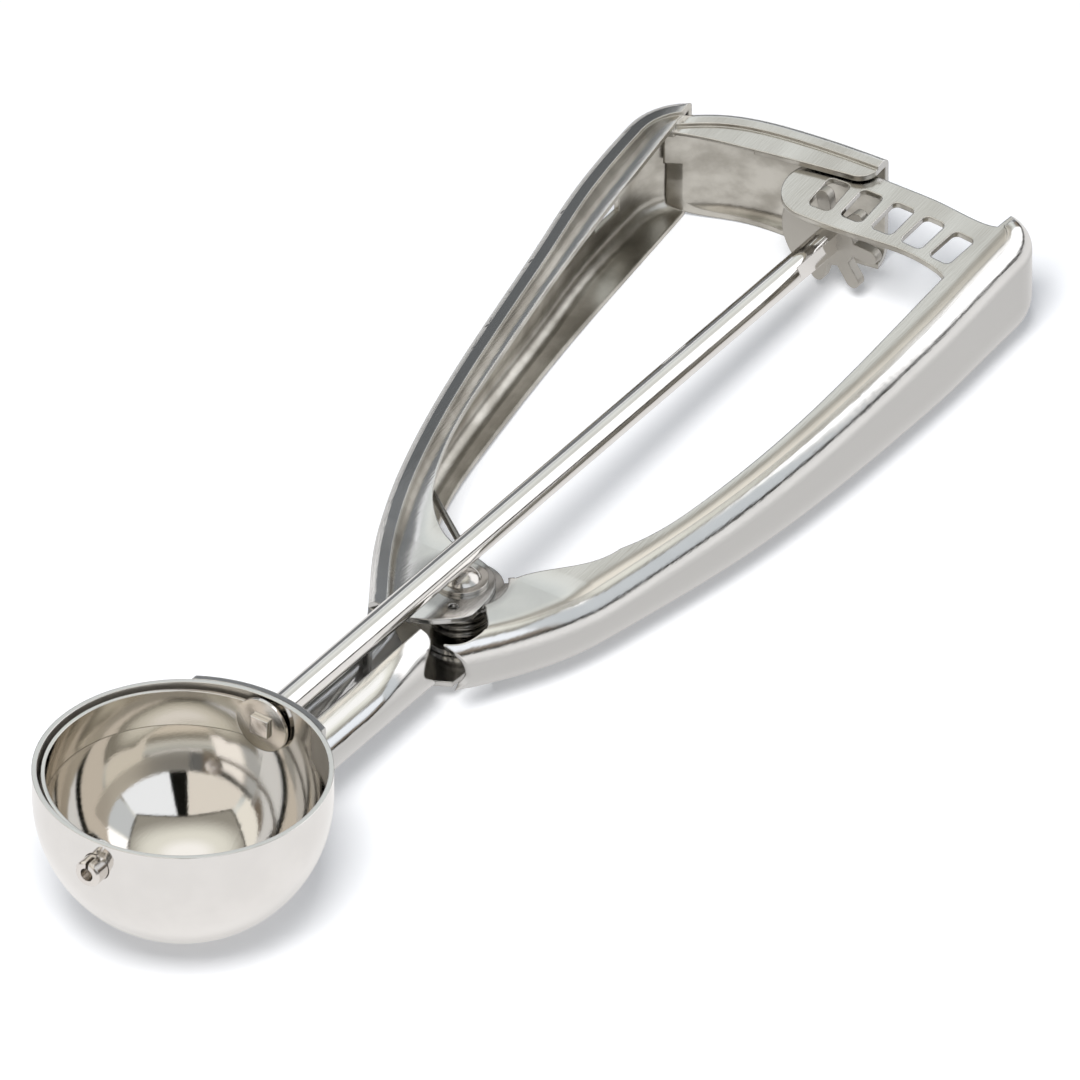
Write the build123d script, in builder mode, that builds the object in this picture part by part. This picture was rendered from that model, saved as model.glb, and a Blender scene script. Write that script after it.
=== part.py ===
from build123d import *
import os
from math import cos, radians, sin, sqrt, tan

# Squeeze-handle ice cream scoop, millimetres.
# The scoop is drawn level: the origin is the centre of the round bowl, X runs back along the shaft,
# Y points to the fixed handle and Z points out of the bowl's mouth. At the end every piece is laid
# down on the table, where the bowl and the tails of the two handles touch Z = 0.

# ---- driving dimensions ----
SHEET = 0.9  # stamped sheet of both handles
BOWL_R = 23.0  # outside of the bowl
BOWL_WALL = 0.8
RIM_Z = 4.5  # straight rim above the bowl's centre
SHAFT_R = 2.25
PIVOT_X = 74.5  # rivet, straight below the shaft
PINION_X = 175.2  # middle of the pinion's thickness
LIE_DOWN = 4.2  # degrees that the scoop tips back to lie on the table
RUNNING = 0.1  # radial clearance of turning fits
AIR = 0.3  # gap between surfaces that should not rub

# ---- how the handles stand ----
EAR_TOP = -5.0  # upper face of the fixed handle's top ear
EAR_BOTTOM = -15.7  # lower face of its bottom ear
LEVEL_X = 82.0  # the handles are level up to here, then rise and widen
RACK_SLOPE = 0.1295  # rise of the squeeze handle's top
FIXED_SLOPE = 0.154  # rise of the fixed handle's top
RIDGE_W = 2.9  # raised band along the outside of a handle
RIDGE_H = 0.5
RACK_GAP = 0.4  # between the rack and the cross channel's flange
TAIL = 210.0  # the side outlines are drawn up to here
FLAT_FROM = 162.0  # the tails lie flat on the table from here
SHOULDER = 1.2  # rounding along the top of the fixed handle's outer wall
BELLY = 3.4  # and along its bottom
GRIP_SHOULDER = 3.0  # the squeeze handle is rounder
GRIP_BELLY = 7.4
GRIP_RIDGE_W = 3.9

# ---- rack and pinion ----
DIVISIONS = 7  # the pinion would have seven teeth all round
TEETH = 5
PITCH_R = 6.4
TOOTH_TIP_R = 8.8
TOOTH_W = 2.4
PINION_T = 1.6
SLOT_W = 4.0
SLOT_L = 6.8
SLOT_SHIFT = 0.4  # each slot lies this much further back than the one before
SLOT_TURN = 3.0  # the first slot leans to the fixed handle, degrees
SLOT_FAN = 2.0  # and each slot after it less
START_TILT = 2.0  # the scraper rests this much above level
FIRST_TOOTH = 9.0  # the first tooth stands this much past the top, degrees
SLOT_SHIFT_0 = 0.8  # the first slot reaches further back than forward of the pinion

# ---- scraper and its ends ----
BLADE_T = 0.6
BLADE_W = 6.5
TAB_R = 4.6
FRONT_TAB_R = 3.8
TANG = 3.2
PIN_R = 2.2
PIN_BORE = 1.1
PIN_END = 25.6
FLAT_X = 163.4  # the shaft is flattened from here to the pinion
ROOT_R = 4.6

# ---- neck ----
NECK_R = 6.9
NECK_Z = -9.0
NECK_MOUTH = 30.0  # degrees from the top to each lip of the trough
SADDLE_T = 1.0

# ---- rivet ----
RIVET_R = 2.0
WASHER_T = 0.6
DOME_TOP = -2.7
SLEEVE_R = 3.0
EAR_R = 6.6  # ears of the squeeze handle
RING_R = 7.2  # the squeeze handle steps in to its ears here

# ---- torsion spring ----
WIRE_R = 0.6
COIL_R = 4.2
COIL_PITCH = 1.3
COIL_TURNS = 3.795
LEG_ANGLE = 36.9  # both legs leave the coil towards the tails
LEG_L = 29.0

# ---- place on the table ----
CENTRE_X = -80.84
CENTRE_Y = -1.34

# ---- worked out from the above ----
BOWL_IN_R = BOWL_R - BOWL_WALL
BLADE_R = BOWL_IN_R - AIR
TAB_X = sqrt(BLADE_R**2 - TAB_R**2)  # outer face of the scraper's rear tab
FRONT_TAB_X = -sqrt(BLADE_R**2 - FRONT_TAB_R**2)
LEVER = PINION_X - PIVOT_X
RATIO = LEVER / PITCH_R  # turns of the shaft for one turn of the squeeze handle
TOOTH_STEP = 360 / DIVISIONS
STEP_H = 2 * SHEET + RUNNING  # the squeeze handle's ears step in by one sheet
EARS_IN_TOP = EAR_TOP - STEP_H  # lower face of its top ear
EARS_IN_BOTTOM = EAR_BOTTOM + STEP_H  # upper face of its bottom ear
FLOOR_SLOPE = tan(radians(LIE_DOWN))
FLOOR_DROP = BOWL_R / cos(radians(LIE_DOWN))


def table(x):
    """Height of the table top under the level scoop."""
    return x * FLOOR_SLOPE - FLOOR_DROP


def top_line(slope, lift):
    """Corners of the line along a handle's top, seen from the side."""
    rear = EAR_TOP + lift + slope * (TAIL - LEVEL_X)
    return [(30, EAR_TOP + lift), (LEVEL_X, EAR_TOP + lift), (TAIL, rear)]


def side_view(slope, lift, drop):
    """Side outline of a handle, its top raised by lift and its bottom by drop."""
    top = top_line(slope, lift)
    bottom = [(TAIL, table(TAIL) + drop), (FLAT_FROM, table(FLAT_FROM) + drop)]
    bottom += [(LEVEL_X, EAR_BOTTOM + drop), (30, EAR_BOTTOM + drop)]
    with BuildSketch(Plane.XZ) as view:
        with BuildLine():
            FilletPolyline(top, radius=40)
            Line(top[-1], bottom[0])
            FilletPolyline(bottom, radius=40)
            Line(bottom[-1], top[0])
        make_face()
    return view.sketch


def over(slope, lift=0):
    """Side outline of the space above a handle's flange."""
    top = top_line(slope, lift)
    with BuildSketch(Plane.XZ) as view:
        with BuildLine():
            FilletPolyline(top, radius=40)
            Polyline(top[-1], (TAIL, 50), (30, 50), top[0])
        make_face()
    return view.sketch


def slab(plan, view):
    """Solid with the outline plan from above and view from the side."""
    with BuildPart() as body:
        extrude(plan, amount=60, both=True)
        extrude(view, amount=90, both=True, mode=Mode.INTERSECT)
    return body.part


def run(points, start, end, depth):
    """Smooth line through points, moved in by depth (to its right; to its left where depth < 0)."""
    line = Spline(*points, tangents=[start, end], mode=Mode.PRIVATE)
    moved = []
    for point in points:
        along = line.tangent_at(line.param_at_point(Vector(*point)))
        moved.append((point[0] + along.Y * depth, point[1] - along.X * depth))
    return Spline(*moved, tangents=[start, end], mode=Mode.PRIVATE)


def outline(points, start, end, bend_r, bend, inner, depth):
    """Everything between a handle's outer wall and the inner corners, seen from above."""
    wall = run(points, start, end, depth)
    with BuildSketch() as plan:
        with BuildLine():
            add(wall)
            last = wall
            if bend_r > 0:
                last = JernArc(wall @ 1, wall % 1, bend_r - abs(depth), bend)
            Polyline(last @ 1, last @ 1 + (last % 1) * 30, *inner, wall @ 0)
        make_face()
    return plan.sketch


def long_edges(body, side, upper, front):
    """Edges along the top or the bottom of a slab's outer wall."""
    chosen = []
    for edge in body.edges():
        at = edge.center()
        across = edge.geom_type == GeomType.LINE and at.X < 183
        if side * at.Y > 5 and at.X > front and not across and abs((edge % 0.5).Z) < 0.5:
            if (at.Z > -7.5) == upper:
                chosen.append(edge)
    return chosen


def channel(walls, slope, lift, ridge, side, front, shoulder, belly):
    """Hollow channel of a handle, with rounded outer wall, before its inner side is opened."""
    with BuildPart() as core:
        add(slab(outline(*walls, SHEET * side), side_view(slope, lift - SHEET, SHEET)))
        if shoulder > 2 * SHEET:
            fillet(long_edges(core.part, side, True, front), shoulder - SHEET - ridge)
        fillet(long_edges(core.part, side, False, front), belly - SHEET)
    with BuildPart() as body:
        add(slab(outline(*walls, 0), side_view(slope, lift + ridge, 0)))
        fillet(long_edges(body.part, side, True, front), shoulder)
        fillet(long_edges(body.part, side, False, front), belly)
        add(core.part, mode=Mode.SUBTRACT)
    return body.part


# ---- bowl ----
with BuildPart() as bowl:
    with BuildSketch(Plane.XZ):
        with BuildLine():
            RadiusArc((0, -BOWL_R), (BOWL_R, 0), -BOWL_R)
            Polyline((BOWL_R, 0), (BOWL_R, RIM_Z), (BOWL_IN_R, RIM_Z), (BOWL_IN_R, 0))
            RadiusArc((BOWL_IN_R, 0), (0, -BOWL_IN_R), BOWL_IN_R)
            Line((0, -BOWL_IN_R), (0, -BOWL_R))
        make_face()
    revolve(axis=Axis.Z)
    with BuildSketch(Plane.YZ):
        Circle(SHAFT_R + RUNNING)
    extrude(amount=BOWL_R + 5, mode=Mode.SUBTRACT)
    with BuildSketch(Plane.YZ):
        Circle(PIN_R + RUNNING)
        with Locations((-0.9, 2.4)):
            Rectangle(1.6, 1.6)
    extrude(amount=-BOWL_R - 5, mode=Mode.SUBTRACT)

# ---- fixed handle: side channel ----
side_walls = (
    [(53, 3.6), (63.5, 9.6), (71.5, 14.6), (83, 20.3)]
    + [(100, 25.6), (120, 29.5), (143, 33.0), (171.5, 35.8)],
    (1, 0.5),
    (1, 0),
    10.2,
    -57,
    [(200, -12), (53, -12)],
)

with BuildSketch() as side_opening:
    with BuildLine():
        Spline((52, -5.6), (62, -6.1), (71.8, -6.2), (77, -4.7), (80, -1), (81.6, 6), (85.8, 12.6), (92, 17))
        Spline((92, 17), (99, 19.8), (115, 23.1), (142.7, 26.8), (182, 30.1))
        Polyline((182, 30.1), (210, 30.1), (210, -40), (52, -40), (52, -5.6))
    make_face()

with BuildSketch(Plane.XY.offset(EAR_TOP - SHEET - 0.1)) as ear_front:
    with BuildLine():
        Spline((61.8, 2), (63.2, -1.4), (65.4, -4.3), (68.4, -6.5), tangents=[(0.4, -1), (1, -0.35)])
        Polyline((68.4, -6.5), (68.4, -20), (40, -20), (40, 20), (61.8, 20), (61.8, 2))
    make_face()

with BuildSketch(Plane.XY.offset(EAR_BOTTOM - 1)) as foot_front:
    Polygon((40, -20), (40, -1.2), (58, -1.2), (61.2, -2.7), (63.4, -7), (63.4, -20), align=None)

side_shell = channel(side_walls, FIXED_SLOPE, 0, RIDGE_H, 1, 54, SHOULDER, BELLY)
side_recess = slab(outline(*side_walls, RIDGE_W), over(FIXED_SLOPE))
with BuildPart() as side_channel:
    add(side_shell)
    add(side_recess, mode=Mode.SUBTRACT)
    extrude(side_opening.sketch, amount=60, both=True, mode=Mode.SUBTRACT)
    extrude(ear_front.sketch, amount=20, mode=Mode.SUBTRACT)
    extrude(foot_front.sketch, amount=2 + SHEET, mode=Mode.SUBTRACT)
    with Locations((164.5, 36, -0.5)):
        Box(7, 6, 9, mode=Mode.SUBTRACT)
    with Locations((50, 0, 0)):
        Box(8, 60, 60, mode=Mode.SUBTRACT)

# ---- fixed handle: cross channel at the tail ----
cross_walls = (
    [(174.6, 36.5), (178.8, 30.5), (181.9, 25.2), (183.9, 19.2), (185, 12.4), (185.7, 4.1), (186, -3.6)],
    (1, -1.2),
    (0.03, -1),
    0,
    0,
    [(150, -33), (150, 36.5)],
)

with BuildSketch() as top_gap:
    with BuildLine():
        Spline((173, 33), (175.8, 25.2), (177.3, 17), (178.7, 8.6), (180, 0))
        RadiusArc((180, 0), (183.1, -3.2), -3.2)
        Polyline((183.1, -3.2), (183.1, -9), (150, -9), (150, 33), (173, 33))
    make_face()

with BuildSketch() as bottom_gap:
    with BuildLine():
        Spline((177, 33), (179.1, 27.5), (181.3, 21.5), (182.3, 14), (183.2, -3.2))
        Polyline((183.2, -3.2), (183.2, -9), (150, -9), (150, 33), (177, 33))
    make_face()

CROSS_LIFT = RACK_GAP + SHEET
cross_shell = channel(cross_walls, RACK_SLOPE, CROSS_LIFT, RIDGE_H, 1, 165, SHOULDER, BELLY)
cross_recess = slab(outline(*cross_walls, RIDGE_W), over(RACK_SLOPE, CROSS_LIFT))
with BuildPart() as cross_channel:
    add(cross_shell)
    add(cross_recess, mode=Mode.SUBTRACT)
    extrude(top_gap.sketch, amount=60, mode=Mode.SUBTRACT)
    extrude(bottom_gap.sketch, amount=-60, mode=Mode.SUBTRACT)
    with Locations((165, 42.4, 0)):
        Box(60, 20, 60, mode=Mode.SUBTRACT)
    with Locations((155, 30, 0)):
        Box(34, 30, 60, mode=Mode.SUBTRACT)
    with Locations((180, -33.2, 0)):
        Box(80, 60, 60, mode=Mode.SUBTRACT)

# ---- fixed handle: saddle on the bowl and rolled neck ----
with BuildPart() as saddle:
    with BuildSketch(Plane.YZ):
        with BuildLine():
            side = Spline(
                (12, RIM_Z), (11.8, -2), (9.4, -8.5), (6.4, -13), (0, -16.5), tangents=[(0, -1), (-1, 0)]
            )
            mirror(side, about=Plane.YZ)
            Line((12, RIM_Z), (-12, RIM_Z))
        make_face()
    extrude(amount=40)
    Sphere(BOWL_R + SADDLE_T, mode=Mode.INTERSECT)
with BuildPart() as saddle_rim:
    Cylinder(BOWL_R + SADDLE_T, RIM_Z, align=(Align.CENTER, Align.CENTER, Align.MIN))
    with Locations((25, 0, 0)):
        Box(25, 24, 2 * RIM_Z, align=(Align.CENTER, Align.CENTER, Align.MIN), mode=Mode.INTERSECT)

with BuildPart() as neck:
    with BuildSketch(Plane.YZ.offset(15)):
        with Locations((0, NECK_Z)):
            Circle(NECK_R)
            Circle(NECK_R - SHEET, mode=Mode.SUBTRACT)
        with BuildLine():
            lip = 20 * sin(radians(NECK_MOUTH))
            rise = NECK_Z + 20 * cos(radians(NECK_MOUTH))
            Polyline((0, NECK_Z), (lip, rise), (-lip, rise), (0, NECK_Z))
        make_face(mode=Mode.SUBTRACT)
    extrude(amount=50)
    with BuildSketch(Plane.XZ):
        with BuildLine():
            Spline((57.6, -2), (58.6, -4.5), (56, -6.4), (54.6, -8), (56.4, -10), (58.6, -12), (63, -16.5))
            Polyline((63, -16.5), (70, -16.5), (70, -2), (57.6, -2))
        make_face()
    extrude(amount=20, mode=Mode.SUBTRACT)
    with BuildSketch(Plane.XZ):
        with BuildLine():
            Polyline((48, -1), (63, EAR_TOP), (70, EAR_TOP), (70, 0), (48, -1))
        make_face()
    extrude(amount=-20, mode=Mode.SUBTRACT)

# room for the rack's round end when the handles are closed
with BuildSketch() as rack_room:
    with Locations((174.0, 22.2)):
        Circle(7)

room_top = slab(rack_room.sketch, side_view(RACK_SLOPE, RACK_GAP + SHEET / 2, 0))
room_under = slab(rack_room.sketch, side_view(RACK_SLOPE, -2 * SHEET, 0))

with BuildPart() as fixed_handle:
    add(side_channel.part)
    add(cross_channel.part)
    add(room_top - room_under, mode=Mode.SUBTRACT)
    add(neck.part)
    add(saddle.part)
    add(saddle_rim.part)
    with BuildSketch(Plane.XY.offset(EAR_BOTTOM)):
        Polygon((56, -1), (61.2, -2.7), (63.1, -6.1), (70, -6.1), (70, 8), (63, 8.9), (53, 3.4), align=None)
    extrude(amount=SHEET)
    Sphere(BOWL_R, mode=Mode.SUBTRACT)
    Cylinder(BOWL_R, 2 * RIM_Z, align=(Align.CENTER, Align.CENTER, Align.CENTER), mode=Mode.SUBTRACT)
    with BuildSketch(Plane.YZ):
        Circle(SHAFT_R + RUNNING)
    extrude(amount=BOWL_R + 5, mode=Mode.SUBTRACT)
    with BuildSketch(Plane.XY.offset(EAR_BOTTOM - 1)):
        with Locations((PIVOT_X, 0)):
            Circle(RIVET_R)
    extrude(amount=20, mode=Mode.SUBTRACT)
    with BuildSketch(Plane.XY.offset(EAR_TOP - 2)):
        with Locations((68.3, -2.8)):
            Circle(0.75)
    extrude(amount=4, mode=Mode.SUBTRACT)

# ---- squeeze handle ----
squeeze_walls = (
    [(57, -9.2), (64.3, -14.3), (73.3, -19.2), (88.4, -23.9)]
    + [(108.1, -28.5), (135.4, -31.9), (160, -33.1), (178.9, -33.0)],
    (1, -0.8),
    (1, 0),
    8.6,
    90,
    [(57, 5)],
)

with BuildSketch() as squeeze_opening:
    with BuildLine():
        Spline(
            (59, -7.6), (62.3, -10.3), (66.9, -10.1), (70.9, -7), (80.3, -6.7), (87.5, -13.2), (93.5, -16.5)
        )
        Spline(
            (93.5, -16.5), (99.8, -19.4), (107.9, -21.4), (130.6, -24.3), (168, -25), (182, -25.7), (190, -27)
        )
        Polyline((190, -27), (190, 12), (50, 12), (50, -7.2), (59, -7.6))
    make_face()


def sector(inner, outer, z, thickness):
    """Part of a ring around the rivet, where the squeeze handle steps in to its ears."""
    with BuildPart() as ring:
        with BuildSketch(Plane.XY.offset(z)):
            with Locations((PIVOT_X, 0)):
                Circle(outer)
                if inner > 0:
                    Circle(inner, mode=Mode.SUBTRACT)
            with BuildLine():
                start = (PIVOT_X + 20 * cos(radians(243)), 20 * sin(radians(243)))
                end = (PIVOT_X + 20 * cos(radians(310)), 20 * sin(radians(310)))
                Polyline((PIVOT_X, 0), start, end, (PIVOT_X, 0))
            make_face(mode=Mode.INTERSECT)
        extrude(amount=thickness)
    return ring.part


with BuildSketch() as rack_plan:
    with BuildLine():
        Polyline((183.0, 2.5), (183.0, -12))
        Spline((183.0, -12), (182.3, -21), (184, -27.4), tangents=[(0, -1), (1, -0.5)])
        Polyline((184, -27.4), (184, -29), (167, -29), (167, -26.2))
        Spline((167, -26.2), (170.2, -22), (169.9, 2.5), tangents=[(1, 0.2), (0, 1)])
        ThreePointArc((169.9, 2.5), (176.45, 9.0), (183.0, 2.5))
    make_face()
    for k in range(TEETH):
        swing = radians((k * TOOTH_STEP - FIRST_TOOTH) / RATIO)
        reach = LEVER + SLOT_SHIFT_0 + k * SLOT_SHIFT
        slot_at = (PIVOT_X + reach * cos(swing), -reach * sin(swing), 0)
        with Locations(Location(slot_at, (0, 0, SLOT_TURN - k * SLOT_FAN))):
            RectangleRounded(SLOT_L, SLOT_W, 1, mode=Mode.SUBTRACT)

with BuildSketch(Plane.XZ) as grip_front:
    with BuildLine():
        Spline((57.6, -2), (59.2, -6), (60.4, -10), (59.6, -14), (57, -18))
        Polyline((57, -18), (40, -18), (40, -2), (57.6, -2))
    make_face()

with BuildSketch() as tail_flat:
    with Locations((186, -25)):
        Rectangle(6, 4)

squeeze_shell = channel(squeeze_walls, RACK_SLOPE, 0, RIDGE_H, -1, 58.5, GRIP_SHOULDER, GRIP_BELLY)
squeeze_recess = slab(outline(*squeeze_walls, -GRIP_RIDGE_W), over(RACK_SLOPE))
tail_recess = slab(tail_flat.sketch, over(RACK_SLOPE))
rack_top = slab(rack_plan.sketch, side_view(RACK_SLOPE, 0, 0))
rack_under = slab(rack_plan.sketch, side_view(RACK_SLOPE, -SHEET, 0))
steps = [sector(RING_R, RING_R + 1, z - STEP_H, STEP_H) for z in (EAR_TOP, EARS_IN_BOTTOM)]
necks = [sector(0, RING_R + 1, z, SHEET) for z in (EARS_IN_TOP, EARS_IN_BOTTOM - SHEET)]
with BuildPart() as squeeze_handle:
    add(squeeze_shell)
    add(squeeze_recess, mode=Mode.SUBTRACT)
    add(tail_recess, mode=Mode.SUBTRACT)
    extrude(squeeze_opening.sketch, amount=60, both=True, mode=Mode.SUBTRACT)
    with BuildSketch(Plane.XY.offset(-30)):
        with Locations((PIVOT_X, 0)):
            Circle(RING_R)
    extrude(amount=60, mode=Mode.SUBTRACT)
    extrude(grip_front.sketch, amount=30, mode=Mode.SUBTRACT)
    add(steps + necks)
    for under in (EARS_IN_TOP, EARS_IN_BOTTOM - SHEET):
        with BuildSketch(Plane.XY.offset(under)):
            with Locations((PIVOT_X, 0)):
                Circle(EAR_R)
        extrude(amount=SHEET)
    with BuildSketch(Plane.XY.offset(-30)):
        with Locations((PIVOT_X, 0)):
            Circle(RIVET_R + RUNNING)
    extrude(amount=60, mode=Mode.SUBTRACT)
    add(rack_top - rack_under)


# ---- rivet stack ----
def cap(z, radius, height):
    """Round rivet head standing on z; a negative height hangs down."""
    big = (radius**2 + height**2) / (2 * abs(height))
    centre = z + height - (big if height > 0 else -big)
    with BuildPart() as head:
        with Locations((PIVOT_X, 0, centre)):
            Sphere(big)
        with BuildSketch(Plane.XY.offset(z)):
            with Locations((PIVOT_X, 0)):
                Circle(radius + 1)
        extrude(amount=height, mode=Mode.INTERSECT)
    return head.part


top_head = cap(EAR_TOP + WASHER_T, 3.1, DOME_TOP - EAR_TOP - WASHER_T)
bottom_head = cap(EAR_BOTTOM, 3.2, -0.7)
with BuildPart() as pivot_rivet:
    with BuildSketch(Plane.XY.offset(EAR_BOTTOM)):
        with Locations((PIVOT_X, 0)):
            Circle(RIVET_R)
    extrude(amount=EAR_TOP + WASHER_T - EAR_BOTTOM)
    add(top_head)
    add(bottom_head)

with BuildPart() as rivet_washer:
    with BuildSketch(Plane.XY.offset(EAR_TOP)):
        with Locations((PIVOT_X, 0)):
            Circle(4.2)
            Circle(RIVET_R, mode=Mode.SUBTRACT)
    extrude(amount=WASHER_T)

with BuildPart() as spring_sleeve:
    with BuildSketch(Plane.XY.offset(EARS_IN_BOTTOM + RUNNING)):
        with Locations((PIVOT_X, 0)):
            Circle(SLEEVE_R)
            Circle(RIVET_R, mode=Mode.SUBTRACT)
    extrude(amount=EARS_IN_TOP - EARS_IN_BOTTOM - 2 * RUNNING)

# ---- shaft, pinion, scraper ----
with BuildPart() as shaft:
    with BuildSketch(Plane.YZ.offset(TAB_X)):
        Circle(SHAFT_R)
    extrude(amount=FLAT_X - TAB_X)
    with BuildSketch(Plane.YZ.offset(FLAT_X)):
        Circle(SHAFT_R)
        Rectangle(3, 6, mode=Mode.INTERSECT)
    extrude(amount=PINION_X - PINION_T / 2 - FLAT_X)
    with BuildSketch(Plane.YZ.offset(PINION_X - PINION_T / 2)):
        Rectangle(2.2, 3.6)
    extrude(amount=PINION_T + 0.5)
    with BuildSketch(Plane.YZ.offset(TAB_X - BLADE_T - 0.7)):
        Rectangle(TANG, TANG, rotation=START_TILT)
    extrude(amount=BLADE_T + 0.7)

with BuildPart() as pinion:
    with BuildSketch(Plane.YZ.offset(PINION_X - PINION_T / 2)):
        Circle(ROOT_R)
        for k in range(TEETH):
            with PolarLocations(0, 1, start_angle=90 - FIRST_TOOTH + k * TOOTH_STEP):
                with Locations((TOOTH_TIP_R / 2, 0)):
                    SlotOverall(TOOTH_TIP_R, TOOTH_W)
        with BuildLine():
            start = (TOOTH_TIP_R * cos(radians(38)), -TOOTH_TIP_R * sin(radians(38)))
            end = (TOOTH_TIP_R * cos(radians(38)), TOOTH_TIP_R * sin(radians(38)))
            RadiusArc(start, end, -TOOTH_TIP_R)
            Polyline(end, (0, 0), start)
        make_face()
        Rectangle(2.2, 3.6, mode=Mode.SUBTRACT)
    extrude(amount=PINION_T)

with BuildPart() as scraper:
    Sphere(BLADE_R)
    Sphere(BLADE_R - BLADE_T, mode=Mode.SUBTRACT)
    Box(60, 60, BLADE_W, align=(Align.CENTER, Align.MIN, Align.CENTER), mode=Mode.INTERSECT)
    with BuildSketch(Plane.YZ.offset(10)):
        Circle(TAB_R)
    extrude(amount=20, mode=Mode.SUBTRACT)
    with BuildSketch(Plane.YZ.offset(-10)):
        Circle(FRONT_TAB_R)
    extrude(amount=-20, mode=Mode.SUBTRACT)
    with BuildSketch(Plane.YZ.offset(TAB_X - BLADE_T)):
        Circle(TAB_R)
        Rectangle(TANG, TANG, mode=Mode.SUBTRACT)
    extrude(amount=BLADE_T)
    with BuildSketch(Plane.YZ.offset(FRONT_TAB_X)):
        Circle(FRONT_TAB_R)
        Circle(PIN_R, mode=Mode.SUBTRACT)
    extrude(amount=BLADE_T)

with BuildPart() as scraper_pin:
    with BuildSketch(Plane.XY):
        with BuildLine():
            Polyline(
                (-PIN_END, PIN_BORE),
                (-PIN_END, PIN_R - 0.3),
                (0.3 - PIN_END, PIN_R),
                (FRONT_TAB_X + BLADE_T, PIN_R),
                (FRONT_TAB_X + BLADE_T, 3.1),
                (FRONT_TAB_X + BLADE_T + 0.5, 3.1),
                (FRONT_TAB_X + BLADE_T + 0.5, PIN_BORE),
                (-PIN_END, PIN_BORE),
            )
        make_face()
    revolve(axis=Axis.X)
    with Locations((-PIN_END, 0, PIN_R)):
        Box(4, 0.5, PIN_R, mode=Mode.SUBTRACT)

# ---- torsion spring around the sleeve ----
with BuildPart() as return_spring:
    with BuildLine() as wire:
        Helix(pitch=COIL_PITCH, height=COIL_PITCH * COIL_TURNS, radius=COIL_R)
    with BuildSketch(Plane(origin=wire.line @ 0, z_dir=wire.line % 0)):
        Circle(WIRE_R)
    sweep(path=wire.line, is_frenet=True)
    for end, sense in ((0, -1), (1, 1)):
        along = wire.line % end
        leg = Vector(along.X * sense, along.Y * sense, 0).normalized()
        with BuildSketch(Plane(origin=wire.line @ end - leg * 0.25, z_dir=leg)):
            Circle(WIRE_R - 0.03)
        extrude(amount=LEG_L)
coil_z = (EARS_IN_TOP + EARS_IN_BOTTOM - COIL_PITCH * COIL_TURNS) / 2
coil_foot = Location((PIVOT_X, 0, coil_z), (0, 0, LEG_ANGLE))

# ---- laid down on the table, centred on the whole scoop ----
lay_down = Location((CENTRE_X, CENTRE_Y, BOWL_R), (0, LIE_DOWN, 0))
pieces = {
    "bowl": bowl.part,
    "fixed_handle": fixed_handle.part,
    "squeeze_handle": squeeze_handle.part,
    "pivot_rivet": pivot_rivet.part,
    "rivet_washer": rivet_washer.part,
    "spring_sleeve": spring_sleeve.part,
    "return_spring": return_spring.part.moved(coil_foot),
    "shaft": shaft.part,
    "pinion": pinion.part,
    "scraper": scraper.part.moved(Location((0, 0, 0), (START_TILT, 0, 0))),
    "scraper_pin": scraper_pin.part.moved(Location((0, 0, 0), (START_TILT, 0, 0))),
}
os.makedirs("parts", exist_ok=True)
for label, piece in pieces.items():
    placed = piece.moved(lay_down)
    placed.label = label
    export_step(placed, "parts/" + label + ".step")
    box = placed.bounding_box()
    print(label, placed.is_valid, len(placed.solids()), round(placed.volume, 1), box.min, box.max)
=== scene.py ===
# %% [markdown]
# # A squeeze ice cream scoop in polished steel
# The scoop is stamped sheet steel, a spun bowl, a turned shaft and a small gear. All the shapes arrive as
# solids that already move on their joints. What they still need is the finish of the real thing, a table
# to lie on, and light that polished metal can mirror.

import math

import bpy
from mathutils import Matrix, Vector

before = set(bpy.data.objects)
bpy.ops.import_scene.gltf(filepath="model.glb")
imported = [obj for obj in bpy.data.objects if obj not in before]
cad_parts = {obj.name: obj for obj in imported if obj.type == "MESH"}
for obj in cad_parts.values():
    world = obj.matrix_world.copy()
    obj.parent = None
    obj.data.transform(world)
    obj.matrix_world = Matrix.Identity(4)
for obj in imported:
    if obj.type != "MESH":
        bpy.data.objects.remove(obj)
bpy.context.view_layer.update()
print("solids:", sorted(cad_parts))

# %% [markdown]
# ## Camera
# A catalogue shows a scoop from above its bowl, with a long lens from far away, because that keeps the
# long handles and the shaft straight and nearly parallel. A wide lens close by would make the bowl look
# too big for its handles. The scoop lies on its bowl and on its tail, tipped back by a few degrees, so the
# camera is worked out for a level scoop and then tipped back with it.

# %% How the scoop lies
TIP = math.radians(4.2)
BOWL_CENTRE = Vector((-0.08084, -0.00134, 0.023))


def laid(x, y, z):
    """Direction of the level scoop turned to how it lies on the table."""
    return Vector((x * math.cos(TIP) + z * math.sin(TIP), y, z * math.cos(TIP) - x * math.sin(TIP)))


right = laid(0.5664, -0.8242, 0.0).normalized()
up = laid(0.4855, 0.3336, 0.8080).normalized()
back = right.cross(up)
print("from the scoop to the camera:", [round(part, 3) for part in back])

# %% Place the camera
CAMERA_DISTANCE = 7.5
SHOWN_WIDTH = 1080 / 6540  # metres across the picture
SENSOR_WIDTH = 36
bowl_to_aim = laid(0.08457, -0.00781, 0.0)
centring = -0.00019 * right - 0.00018 * up
aim = BOWL_CENTRE + bowl_to_aim + centring

camera_data = bpy.data.cameras.new("camera")
camera_data.sensor_width = SENSOR_WIDTH
camera_data.lens = SENSOR_WIDTH * CAMERA_DISTANCE / SHOWN_WIDTH
camera_data.clip_start = 0.01
camera_data.clip_end = 100
camera = bpy.data.objects.new("camera", camera_data)
bpy.context.scene.collection.objects.link(camera)
bpy.context.scene.camera = camera
facing_back = Matrix((right, up, back)).transposed().to_4x4()
camera.matrix_world = Matrix.Translation(aim + back * CAMERA_DISTANCE) @ facing_back
print("camera lens in mm:", round(camera_data.lens))

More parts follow.
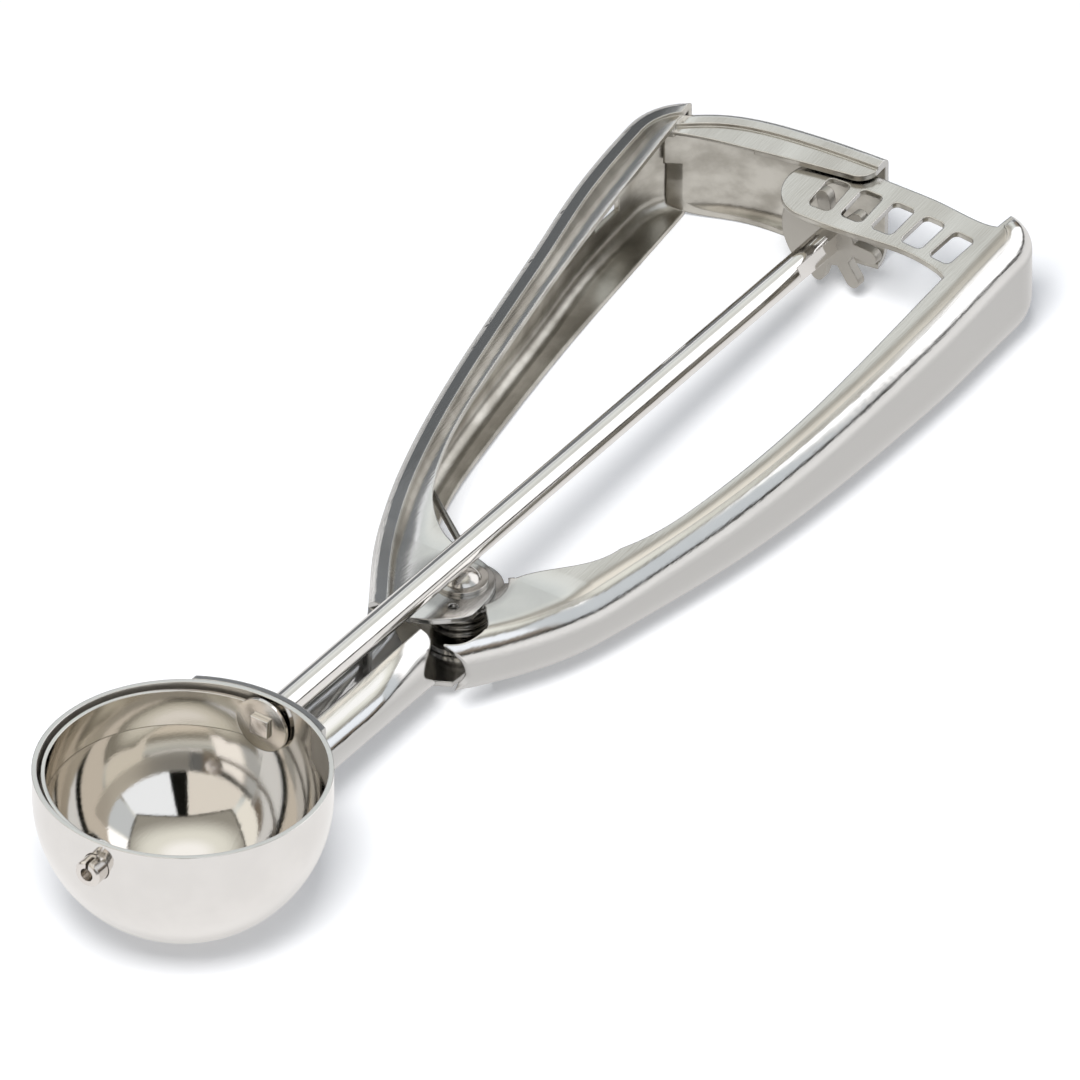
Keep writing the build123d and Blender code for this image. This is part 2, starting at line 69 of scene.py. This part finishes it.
# %% [markdown]
# ## Node helpers
# Every finish below is a small graph of nodes. Building one by hand takes three lines for each node: make
# it, set it, link it. These helpers do it in one, so that a finish reads as a list of what it is made of.


# %% A graph and its nodes
def graph(owner):
    """Empty node graph of a material or a world."""
    owner.use_nodes = True
    owner.node_tree.nodes.clear()
    return owner.node_tree


def node(tree, kind, inputs=None, **settings):
    """New node; inputs are numbers, colours or other nodes' outputs."""
    made = tree.nodes.new(kind)
    for name, value in settings.items():
        setattr(made, name, value)
    for name, value in (inputs or {}).items():
        if isinstance(value, bpy.types.NodeSocket):
            tree.links.new(value, made.inputs[name])
        else:
            made.inputs[name].default_value = value
    return made


# %% Sums on numbers and on vectors
def maths(tree, operation, a, b=0.5, c=0.5):
    """One sum on two or three numbers or outputs."""
    return node(tree, "ShaderNodeMath", {0: a, 1: b, 2: c}, operation=operation).outputs[0]


def vectors(tree, operation, a, b=None):
    """One sum on one or two vectors, which gives a vector."""
    inputs = {0: a} if b is None else {0: a, 1: b}
    return node(tree, "ShaderNodeVectorMath", inputs, operation=operation).outputs["Vector"]


def dot(tree, a, b):
    """How far a vector reaches along another one."""
    b = b if isinstance(b, bpy.types.NodeSocket) else tuple(b)
    return node(tree, "ShaderNodeVectorMath", {0: a, 1: b}, operation="DOT_PRODUCT").outputs["Value"]


# %% Colours
def ramp(tree, value, *stops):
    """Colours at stops (place, colour), smoothly joined."""
    made = node(tree, "ShaderNodeValToRGB", {"Fac": value})
    made.color_ramp.interpolation = "EASE"
    points = made.color_ramp.elements
    while len(points) < len(stops):
        points.new(0.5)
    for point, (place, colour) in zip(points, stops):
        point.position = place
        point.color = (*colour, 1)
    return made.outputs["Color"]


def mix(tree, factor, a, b):
    """Blend from colour a to colour b."""
    made = node(tree, "ShaderNodeMix", {"Factor": factor}, data_type="RGBA")
    for place, value in ((6, a), (7, b)):
        if isinstance(value, bpy.types.NodeSocket):
            tree.links.new(value, made.inputs[place])
        else:
            made.inputs[place].default_value = (*value, 1)
    return made.outputs[2]


# %% A soft window
def edge(tree, value, place, soft, before, after):
    """Smooth step from one number to another where value passes a place."""
    step = {"From Min": place - soft, "From Max": place + soft, "To Min": before, "To Max": after}
    step["Value"] = value
    return node(tree, "ShaderNodeMapRange", step, interpolation_type="SMOOTHSTEP").outputs[0]


def band(tree, value, low, high, soft):
    """1 between low and high, 0 outside, with soft edges."""
    rising = edge(tree, value, low, soft, 0.0, 1.0)
    falling = edge(tree, value, high, soft, 1.0, 0.0)
    return maths(tree, "MULTIPLY", rising, falling)


# %% [markdown]
# ## What the metal mirrors
# Polished steel has hardly any colour of its own: it shows the room. The room here is a small white studio.
# Screens stand around the table, with dark slits between them, a bright screen hangs overhead, and low
# around the table the room falls off to brown and black. Real screens could be built as planes, but then
# they would also have to be lamps. Painting them on the sky is simpler, and the sky is the same from every
# side.
#
# Every screen is a patch in two angles: the turn from the camera's side, and the height over the horizon.

# %% Directions in the room
DEGREES = 57.3  # in a radian
LOWEST_RISE = 0.05

world = bpy.data.worlds.new("studio")
bpy.context.scene.world = world
room = graph(world)
direction = node(room, "ShaderNodeTexCoord").outputs["Generated"]
front = Vector((back.x, back.y, 0)).normalized()
side = Vector((-front.y, front.x, 0))
forth = dot(room, direction, front)
aside = dot(room, direction, side)
rise = dot(room, direction, (0, 0, 1))
turn_deg = maths(room, "MULTIPLY", maths(room, "ARCTAN2", aside, forth), DEGREES)
height_deg = maths(room, "MULTIPLY", maths(room, "ARCSINE", rise), DEGREES)
print("the camera's side of the room:", [round(part, 3) for part in front])

# %% [markdown]
# ## Walls and screens
# The tones below are what the steel should show. Steel sends back about four fifths of the light, so each
# screen is painted brighter by that much.


# %% Walls
def steel_tone(red, green, blue):
    """Light that polished steel shows as this screen colour."""
    return tuple(1.25 * channel**2.2 for channel in (red, green, blue))


walls = ramp(
    room,
    maths(room, "DIVIDE", height_deg, 90),
    (0.00, steel_tone(0.13, 0.13, 0.11)),
    (0.06, steel_tone(0.16, 0.15, 0.13)),
    (0.13, steel_tone(0.50, 0.46, 0.42)),
    (0.28, steel_tone(0.58, 0.56, 0.53)),
    (0.37, steel_tone(0.80, 0.82, 0.82)),
    (0.45, steel_tone(0.88, 0.89, 0.88)),
    (0.56, steel_tone(0.60, 0.59, 0.56)),
    (0.70, steel_tone(0.93, 0.91, 0.87)),
)

# %% Screens around the table
BLUISH_GREY = (0.46, 0.47, 0.48)
COOL_WHITE = (0.97, 0.98, 1.00)
screens = [  # name, turns, heights, softness of the edges in degrees, tone
    ("warm screen", (-57, -4), (20, 75), 1.0, (0.88, 0.86, 0.83)),
    ("cool screen", (11, 57), (20, 75), 1.0, (0.95, 0.97, 1.00)),
    ("screen to the left", (-125, -62), (10, 75), 2.0, (0.93, 0.92, 0.89)),
    ("grey screen", (59, 84), (8, 75), 2.0, (0.77, 0.79, 0.81)),
    ("large lamp screen", (86, 132), (7, 52), 3.0, (1.12, 1.12, 1.13)),
    ("slit by the camera", (-4, 11), (22, 75), 0.6, (0.10, 0.10, 0.09)),
    ("camera stand", (-12, 17), (6, 21), 1.0, (0.46, 0.46, 0.45)),
]
for behind in ((-190, -135), (150, 190)):  # the turn jumps from 180 to -180 behind the scoop
    screens.append(("low wall behind", behind, (-9, 24), 2.0, BLUISH_GREY))
    screens.append(("strip light behind", behind, (25, 29), 1.0, COOL_WHITE))
for name, turns, heights, soft, tone in screens:
    across = band(room, turn_deg, *turns, soft)
    upright = band(room, height_deg, *heights, soft)
    walls = mix(room, maths(room, "MULTIPLY", across, upright), walls, steel_tone(*tone))
print("screens:", [screen[0] for screen in screens])

# %% [markdown]
# ## Screen overhead
# A square screen hangs over the table. The hollow of the bowl shows all of it, so it has a dark frame and
# is brightest in the middle, like a cloth with one lamp behind it. Its place is measured on a level plane
# above the scoop, where it has straight edges.

# %% Screen overhead
SCREEN_NEAR, SCREEN_FAR, SCREEN_HALF = 0.60, -0.25, 0.88
FRAME_WIDTH = 0.03

over = maths(room, "MAXIMUM", rise, LOWEST_RISE)
forth_over = maths(room, "DIVIDE", forth, over)
aside_over = maths(room, "DIVIDE", aside, over)


def overhead(wider, wider_aside):
    """1 inside the screen overhead, made wider by these amounts."""
    long_way = band(room, forth_over, SCREEN_FAR - wider, SCREEN_NEAR + wider, 0.01)
    short_way = band(room, aside_over, -SCREEN_HALF - wider_aside, SCREEN_HALF + wider_aside, 0.01)
    return maths(room, "MULTIPLY", long_way, short_way)


squeezed = maths(room, "MULTIPLY", aside_over, 0.6)
spot = node(room, "ShaderNodeCombineXYZ", {0: forth_over, 1: squeezed}).outputs[0]
off_centre = node(room, "ShaderNodeVectorMath", {0: spot}, operation="LENGTH").outputs["Value"]
cloth = ramp(
    room,
    off_centre,
    (0.10, steel_tone(1.00, 1.00, 1.00)),
    (0.28, steel_tone(0.90, 0.90, 0.87)),
    (0.60, steel_tone(0.58, 0.57, 0.54)),
)
above = mix(room, overhead(FRAME_WIDTH, 0.04), walls, steel_tone(0.30, 0.29, 0.27))
above = mix(room, overhead(0.0, 0.0), above, cloth)

# %% [markdown]
# ## Who sees the room
# Only mirror rays see the painted room. The camera looks past the table into plain white, and matt surfaces
# get plain, slightly blue light, which also tints the shadow on the table.

# %% Camera, mirrors and matt surfaces
rays = node(room, "ShaderNodeLightPath").outputs
mirrored = node(room, "ShaderNodeBackground", {"Color": above, "Strength": 1.0}).outputs[0]
plain = node(room, "ShaderNodeBackground", {"Color": (0.86, 0.91, 1.0, 1), "Strength": 0.28}).outputs[0]
white = node(room, "ShaderNodeBackground", {"Color": (1, 1, 1, 1), "Strength": 1.0}).outputs[0]
lit = node(room, "ShaderNodeMixShader", {0: rays["Is Glossy Ray"], 1: plain, 2: mirrored}).outputs[0]
seen = node(room, "ShaderNodeMixShader", {0: rays["Is Camera Ray"], 1: lit, 2: white}).outputs[0]
node(room, "ShaderNodeOutputWorld", {"Surface": seen})
print("room nodes:", len(room.nodes))

# %% [markdown]
# ## Table
# A large sheet of white paper carries the scoop and its soft shadow. The camera sees it a little brighter
# than it is lit, so that it ends in pure white. The steel sees it mostly as an even, slightly warm white:
# otherwise the outsides of the bowl and of the handles, which look down at the table, would mirror only
# the scoop's own shadow.

# %% Sheet on the table
HALF_TABLE = 3.0
SHEET_GAP = 0.00005  # below the scoop, so that the faces don't fight
table_mesh = bpy.data.meshes.new("table_sheet")
corners = [(x * HALF_TABLE, y * HALF_TABLE, 0) for x, y in ((-1, -1), (1, -1), (1, 1), (-1, 1))]
table_mesh.from_pydata(corners, [], [(0, 1, 2, 3)])
table = bpy.data.objects.new("table_sheet", table_mesh)
table.location.z = -SHEET_GAP
bpy.context.scene.collection.objects.link(table)
print("table width in metres:", 2 * HALF_TABLE)

# %% White paper
LIFT_FOR_CAMERA = 0.24
EVEN_FOR_MIRRORS = 0.62
paper = bpy.data.materials.new("white_paper")
sheet = graph(paper)
rays = node(sheet, "ShaderNodeLightPath").outputs
matt = node(sheet, "ShaderNodeBsdfDiffuse", {"Color": (0.86, 0.86, 0.87, 1)}).outputs[0]
for_camera = maths(sheet, "MULTIPLY", rays["Is Camera Ray"], LIFT_FOR_CAMERA)
glow = node(sheet, "ShaderNodeEmission", {"Color": (0.94, 0.97, 1, 1), "Strength": for_camera}).outputs[0]
lit_paper = node(sheet, "ShaderNodeAddShader", {0: matt, 1: glow}).outputs[0]
even = node(sheet, "ShaderNodeEmission", {"Color": (0.985, 0.965, 0.945, 1), "Strength": 1.0}).outputs[0]
for_mirrors = maths(sheet, "MULTIPLY", rays["Is Glossy Ray"], EVEN_FOR_MIRRORS)
surface = node(sheet, "ShaderNodeMixShader", {0: for_mirrors, 1: lit_paper, 2: even}).outputs[0]
node(sheet, "ShaderNodeOutputMaterial", {"Surface": surface})
table_mesh.materials.append(paper)

# %% [markdown]
# ## Lamp
# One soft lamp hangs a little above the camera and to its left. From there the shadow stays close around
# the scoop and shows only as a thin soft rim below it and to its right. The lamp is hidden from mirrors,
# because the painted screens are what the steel should show.

# %% Soft lamp
LAMP_DISTANCE = 1.6
lamp_data = bpy.data.lights.new("key_lamp", "AREA")
lamp_data.size = 0.66
lamp_data.energy = 24
lamp = bpy.data.objects.new("key_lamp", lamp_data)
lamp.location = (back + 0.42 * up - 0.13 * right).normalized() * LAMP_DISTANCE
lamp.rotation_mode = "QUATERNION"
lamp.rotation_quaternion = lamp.location.to_track_quat("Z", "Y")
lamp.visible_glossy = False
bpy.context.scene.collection.objects.link(lamp)
print("lamp place:", [round(part, 2) for part in lamp.location])

# %% [markdown]
# ## Where on the steel
# A pressed handle isn't equally shiny all over. The flat top is buffed, the hollow side keeps the dull skin
# of the press and is also coloured darker as painted shade, and the sheet is rolled over to the wall along
# its outer edge. The pieces are single solids, so the finish finds these regions by itself: from where a
# point lies and which way it faces, both in the piece's own frame, so that the regions travel with a piece
# that moves.


# %% Place and facing
def lies(tree, axis):
    """How far along an axis of the scoop a point lies, in metres."""
    return dot(tree, node(tree, "ShaderNodeTexCoord").outputs["Object"], axis)


def faces(tree, axis):
    """How much the surface faces along an axis, from -1 to 1."""
    return dot(tree, node(tree, "ShaderNodeTexCoord").outputs["Normal"], axis)


def faces_away(tree, centre, weights=(1.0, 1.0, 1.0)):
    """How much the surface faces away from a centre, in metres. Below 0 it is a hollow side."""
    coords = node(tree, "ShaderNodeTexCoord").outputs
    spoke = vectors(tree, "SUBTRACT", coords["Object"], tuple(centre))
    return dot(tree, vectors(tree, "MULTIPLY", spoke, weights), coords["Normal"])


LENGTHWISE, SIDEWAYS, UPWARDS = (1, 0, 0), (0, 1, 0), (0, 0, 1)

# %% [markdown]
# ## Hollow sides
# The inner walls of both handles and the upper side of their lower flanges are dull, and there the handles
# also get painted shade in their colour. The two walls of the rolled neck that face each other are dull too.

# %% Hollow sides of handles and neck
LOOP_CENTRE = (0.045, -0.00134, 0.01)  # between the handles
LOWER_FLANGE_TOP = 0.0068
LOOP_SHAPE = (0.6, 1.0, 0.0)  # the loop of the handles is longer than wide
NECK_FRONT, NECK_REAR = -0.064, -0.012


def inside_of_handles(tree):
    """1 on the hollow side of the handles."""
    wall = band(tree, faces_away(tree, LOOP_CENTRE, LOOP_SHAPE), -1.0, -0.003, 0.002)
    low = band(tree, lies(tree, UPWARDS), -1.0, LOWER_FLANGE_TOP, 0.0006)
    lower_flange = maths(tree, "MULTIPLY", low, band(tree, faces(tree, UPWARDS), 0.15, 2.0, 0.1))
    hollow = maths(tree, "MAXIMUM", wall, lower_flange)
    behind_neck = band(tree, lies(tree, LENGTHWISE), NECK_REAR, 1.0, 0.004)
    return maths(tree, "MULTIPLY", hollow, behind_neck)


def inside_of_neck(tree):
    """1 on the walls of the rolled neck that face each other."""
    walls = band(tree, faces_away(tree, LOOP_CENTRE, SIDEWAYS), -1.0, -0.0004, 0.0003)
    along_neck = band(tree, lies(tree, LENGTHWISE), NECK_FRONT, NECK_REAR, 0.001)
    return maths(tree, "MULTIPLY", walls, along_neck)


# %% [markdown]
# ## Bowl and blade
# The hollow of the bowl gets painted shade: its colour is a darker, warmer tint than the outside. Bowl and
# blade also face each other across a narrow gap. Two mirrors that close would only show each other and turn
# black, and on the real scoop both are rubbed dull there.


# %% Hollow of the bowl and the gap at the blade
def inside_of_bowl(tree):
    """1 on the hollow side of the bowl."""
    return band(tree, faces_away(tree, BOWL_CENTRE), -1.0, -0.010, 0.002)


def gap_wall(tree, facing, above):
    """1 where bowl and blade face each other. facing is 1 for the outer side and -1 for the inner one."""
    outward = maths(tree, "MULTIPLY", faces_away(tree, BOWL_CENTRE), facing)
    right_side = band(tree, outward, 0.010, 1.0, 0.002)
    high = band(tree, lies(tree, UPWARDS), above, 1.0, 0.001)
    spoke = vectors(tree, "SUBTRACT", node(tree, "ShaderNodeTexCoord").outputs["Object"], tuple(BOWL_CENTRE))
    off_middle = maths(tree, "SUBTRACT", 1.0, band(tree, dot(tree, spoke, SIDEWAYS), -0.010, 0.001, 0.001))
    return maths(tree, "MULTIPLY", right_side, maths(tree, "MULTIPLY", high, off_middle))


# %% [markdown]
# ## Rolled shoulders
# From the flat top to the outer wall the sheet is rolled over a few millimetres, which makes the long
# highlights along both handles. In the solid the top is flat up to a small rounding. Modelling the roll
# would change the outline, so the finish only leans the surface's direction, more and more towards the
# edge. For that it has to know how far a point is from the edge, and a smooth curve through a few points
# of the edge tells it.

# %% Outer edges of the handles
# Points of each edge in millimetres behind the bowl's centre and away from the middle.
fixed_edge = [
    (53, 3.6), (63.5, 9.6), (71.5, 14.6), (83, 20.3), (100, 25.6), (120, 29.5), (143, 33.0), (171.5, 35.8)
]
squeeze_edge = [
    (57, 9.2), (64.3, 14.3), (73.3, 19.2), (88.4, 23.9), (108.1, 28.5), (135.4, 31.9), (160, 33.1), (179, 33)
]
CURVE_START, CURVE_SPAN, CURVE_TOP = 50, 135, 40  # the curve works in shares of these millimetres
BOWL_TO_ORIGIN = 81.4
MIDDLE_TO_ORIGIN = 1.34
LOOK_AHEAD = 0.02


def edge_curve(tree, along, edge_points):
    """Smooth curve through the points of an edge, both ways as shares of the curve's size."""
    shares = [((x - CURVE_START) / CURVE_SPAN, y / CURVE_TOP) for x, y in edge_points]
    made = node(tree, "ShaderNodeFloatCurve", {"Value": along})
    curve = made.mapping.curves[0]
    curve.points[0].location = shares[0]
    curve.points[1].location = shares[-1]
    for share in shares[1:-1]:
        curve.points.new(*share)
    made.mapping.update()
    return made.outputs[0]


# %% Lean of a shoulder
SHOULDER_LEAN = 0.65
SHOULDER_START = 2.0  # millimetres in from the edge, where the lean is full


def edge_frame(tree, side, edge_points):
    """Direction out over the edge, and how deep inside the edge a point is, in millimetres."""
    start = (BOWL_TO_ORIGIN - CURVE_START) / CURVE_SPAN
    along = maths(tree, "MULTIPLY_ADD", lies(tree, LENGTHWISE), 1000 / CURVE_SPAN, start)
    middle = side * MIDDLE_TO_ORIGIN / CURVE_TOP
    across = maths(tree, "MULTIPLY_ADD", lies(tree, (0, side, 0)), 1000 / CURVE_TOP, middle)
    here = edge_curve(tree, along, edge_points)
    ahead = edge_curve(tree, maths(tree, "ADD", along, LOOK_AHEAD), edge_points)
    per_step = CURVE_TOP / (LOOK_AHEAD * CURVE_SPAN)
    slope = maths(tree, "MULTIPLY", maths(tree, "SUBTRACT", ahead, here), per_step)
    backwards = maths(tree, "MULTIPLY", slope, -1.0)
    outward = node(tree, "ShaderNodeCombineXYZ", {0: backwards, 1: side}).outputs[0]
    outward = vectors(tree, "NORMALIZE", outward)
    sideways = maths(tree, "MULTIPLY", maths(tree, "SUBTRACT", here, across), CURVE_TOP)
    depth = maths(tree, "MULTIPLY", sideways, maths(tree, "ABSOLUTE", dot(tree, outward, SIDEWAYS)))
    return outward, depth


def rolled_shoulder(tree, side, edge_points, roll_depth):
    """What to add to the surface's direction; roll_depth is how far in from the edge the roll starts."""
    outward, depth = edge_frame(tree, side, edge_points)
    roll = {"From Min": SHOULDER_START, "From Max": roll_depth, "To Min": SHOULDER_LEAN, "To Max": 0.0}
    roll["Value"] = depth
    lean = node(tree, "ShaderNodeMapRange", roll, interpolation_type="SMOOTHSTEP").outputs[0]
    faces_up = band(tree, faces(tree, UPWARDS), 0.1, 2.0, 0.1)
    high = band(tree, lies(tree, UPWARDS), LOWER_FLANGE_TOP, 1.0, 0.0006)
    lean = maths(tree, "MULTIPLY", lean, maths(tree, "MULTIPLY", faces_up, high))
    added = node(tree, "ShaderNodeVectorMath", {0: outward, "Scale": lean}, operation="SCALE").outputs[0]
    turned = {"vector_type": "VECTOR", "convert_from": "OBJECT", "convert_to": "WORLD"}
    return node(tree, "ShaderNodeVectorTransform", {0: added}, **turned).outputs[0]


# %% [markdown]
# ## Polished sheet steel
# All the steel shares one recipe. A buffed surface isn't perfect: it has slightly duller clouds, fine
# polishing lines along the scoop and a slow waviness that bends what it mirrors, and all cut edges are a
# little rounded and catch the light. The lines and the waviness are bump, and the rounded edges are a bevel
# in the surface's direction. What only a handle, the bowl or the blade has is added by a function of its
# own, which changes the recipe's colour, roughness, metal share or direction.


# %% Steel
def stretched_noise(tree, place, stretch, scale, detail):
    """Noise drawn out along the axes with a small stretch."""
    drawn = node(tree, "ShaderNodeMapping", {"Vector": place, "Scale": stretch}).outputs[0]
    noise = {"Vector": drawn, "Scale": scale, "Detail": detail}
    return node(tree, "ShaderNodeTexNoise", noise).outputs["Fac"]


def shade(tint, share):
    """A darker shade of a tint."""
    return tuple(share * channel for channel in tint)


def steel(name, tint, shine, streak, wave, rounding=0.00025, special=None):
    """Steel; shine is its roughness, and special adds what only this piece has."""
    made = bpy.data.materials.new(name)
    tree = graph(made)
    place = node(tree, "ShaderNodeTexCoord").outputs["Object"]
    clouds = node(tree, "ShaderNodeTexNoise", {"Vector": place, "Scale": 90.0, "Detail": 3.0}).outputs["Fac"]
    skin = {
        "colour": ramp(tree, clouds, (0.3, shade(tint, 0.94)), (0.7, tint)),
        "metal": 1.0,
        "rough": maths(tree, "MULTIPLY_ADD", clouds, shine, 0.5 * shine),
        "direction": node(tree, "ShaderNodeBevel", {"Radius": rounding}, samples=6).outputs[0],
    }
    if special:
        special(tree, tint, skin)
    swell = stretched_noise(tree, place, (0.45, 1.6, 1.0), 45.0, 1.5)
    lines = stretched_noise(tree, place, (60, 900, 900), 4.0, 4.0)
    wavy = {"Height": swell, "Strength": wave, "Distance": 0.002, "Normal": skin["direction"]}
    wavy = node(tree, "ShaderNodeBump", wavy).outputs[0]
    lined = {"Height": lines, "Strength": streak, "Distance": 0.00003, "Normal": wavy}
    lined = node(tree, "ShaderNodeBump", lined).outputs[0]
    look = {"Base Color": skin["colour"], "Metallic": skin["metal"], "Roughness": skin["rough"]}
    polished = node(tree, "ShaderNodeBsdfPrincipled", {**look, "Normal": lined}).outputs[0]
    node(tree, "ShaderNodeOutputMaterial", {"Surface": polished})
    return made


# %% [markdown]
# ## What only some pieces have
# A handle gets painted shade: its upright walls are coloured darker, its hollow side is dull and mottled and
# coloured darker, and it is darker around the rivet, where the parts crowd. The neck's inner walls are
# partly matt. Bowl and blade are rubbed where they face each other, and the hollow of the bowl gets a
# darker, warmer painted shade.

# %% Pressed handle and its painted shade
PIVOT = (-0.0073, -0.00134, 0.0130)
# Radius of the painted shade around the rivet.
PIVOT_SHADE_RADIUS = 0.0078
DULL_ROUGHNESS = (0.30, 0.30, 0.30)


def pressed_and_shaded(side, edge_points, roll_depth):
    """What a handle has, painted shade included; side is 1 or -1 for the side of the middle that it is on.
    """

    def special(tree, tint, skin):
        place = node(tree, "ShaderNodeTexCoord").outputs["Object"]
        # Painted shade: the upright walls of a handle are coloured darker than its flat top.
        upright = band(tree, faces(tree, UPWARDS), -2.0, 0.25, 0.2)
        colour = mix(tree, upright, skin["colour"], shade(tint, 0.68))
        # Painted shade in the hollow: the hollow side is coloured darker and mottled; its dull roughness is
        # the skin of the press.
        hollow = inside_of_handles(tree)
        mottle = stretched_noise(tree, place, (160, 160, 220), 1.0, 5.0)
        press_skin_and_shade = ramp(tree, mottle, (0.32, (0.38, 0.36, 0.32)), (0.68, (0.60, 0.58, 0.53)))
        colour = mix(tree, hollow, colour, press_skin_and_shade)
        # Painted shade around the rivet, where shaft, spring and ears crowd together.
        from_pivot = {0: place, 1: PIVOT}
        from_pivot = node(tree, "ShaderNodeVectorMath", from_pivot, operation="DISTANCE").outputs["Value"]
        pivot_shade = band(tree, from_pivot, -1.0, PIVOT_SHADE_RADIUS, 0.0012)
        skin["colour"] = mix(tree, pivot_shade, colour, shade(tint, 0.55))
        skin["rough"] = mix(tree, hollow, skin["rough"], DULL_ROUGHNESS)
        skin["metal"] = maths(tree, "MULTIPLY_ADD", inside_of_neck(tree), -0.6, 1.0)
        lean = rolled_shoulder(tree, side, edge_points, roll_depth)
        skin["direction"] = vectors(tree, "NORMALIZE", vectors(tree, "ADD", skin["direction"], lean))

    return special


# %% Rubbed bowl and blade, and painted shade in the bowl's hollow
RUBBED_ROUGHNESS = (0.45, 0.45, 0.45)
# Painted shade: the darker, warmer colour of the bowl's hollow.
HOLLOW_SHADE_TINT = (0.72, 0.69, 0.645)


def rubbed_and_shaded(facing, above):
    """What bowl and blade have, painted shade in the bowl's hollow included; facing and above say where the
    gap between them is.
    """

    def special(tree, tint, skin):
        skin["rough"] = mix(tree, gap_wall(tree, facing, above), skin["rough"], RUBBED_ROUGHNESS)
        # Painted shade in the hollow of the bowl.
        skin["colour"] = mix(tree, inside_of_bowl(tree), skin["colour"], HOLLOW_SHADE_TINT)

    return special


# %% [markdown]
# ## Finishes
# Bowl, blade and shaft are polished most. The handles are buffed a little less and have more waviness, as
# pressed sheet has. The stud at the front and the rivet are plain turned pieces, and the rivet and its
# washer are coloured darker as painted shade of the crowded pivot. The pinion is blanked from sheet and left
# grey, and the spring and its sleeve are dark.

# %% Finishes
POLISHED_TINT = (0.80, 0.78, 0.755)
BUFFED_TINT = (0.80, 0.79, 0.77)
HANDLE_ROUNDING = 0.0004
BOWL_GAP_HEIGHT = 0.0195

shaft_steel = steel("mirror_steel", POLISHED_TINT, 0.06, 0.15, 0.06)
bowl_steel = steel("bowl_steel", POLISHED_TINT, 0.06, 0.15, 0.06, special=rubbed_and_shaded(-1.0, BOWL_GAP_HEIGHT))
blade_steel = steel("blade_steel", POLISHED_TINT, 0.08, 0.2, 0.08, special=rubbed_and_shaded(1.0, -1.0))
fixed_steel = steel(
    "fixed_steel", BUFFED_TINT, 0.14, 0.4, 0.22, HANDLE_ROUNDING, pressed_and_shaded(1, fixed_edge, 9.5)
)
squeeze_steel = steel(
    "squeeze_steel", BUFFED_TINT, 0.14, 0.4, 0.22, HANDLE_ROUNDING, pressed_and_shaded(-1, squeeze_edge, 6.8)
)
# Painted shade: the rivet and its washer are coloured darker as shade of the crowded pivot.
rivet_steel = steel("rivet_steel", (0.60, 0.58, 0.55), 0.16, 0.4, 0.15)
pin_steel = steel("pin_steel", (0.80, 0.76, 0.72), 0.22, 0.4, 0.10)
pinion_steel = steel("cut_steel", (0.50, 0.48, 0.44), 0.42, 0.7, 0.2)
spring_steel = steel("wire_steel", (0.30, 0.29, 0.27), 0.25, 0.3, 0.1)

# %% Dress the pieces
finishes = {
    "bowl": bowl_steel,
    "fixed_handle": fixed_steel,
    "squeeze_handle": squeeze_steel,
    "pivot_rivet": rivet_steel,
    "rivet_washer": rivet_steel,
    "spring_sleeve": spring_steel,
    "return_spring": spring_steel,
    "shaft": shaft_steel,
    "pinion": pinion_steel,
    "scraper": blade_steel,
    "scraper_pin": pin_steel,
}
for piece, finish in finishes.items():
    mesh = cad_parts[piece].data
    mesh.materials.clear()
    mesh.materials.append(finish)
print("finished pieces:", len(finishes))

# %% [markdown]
# ## Done
# The picture settings are left plain.

# %% Finish
bpy.context.scene.view_settings.view_transform = "Standard"
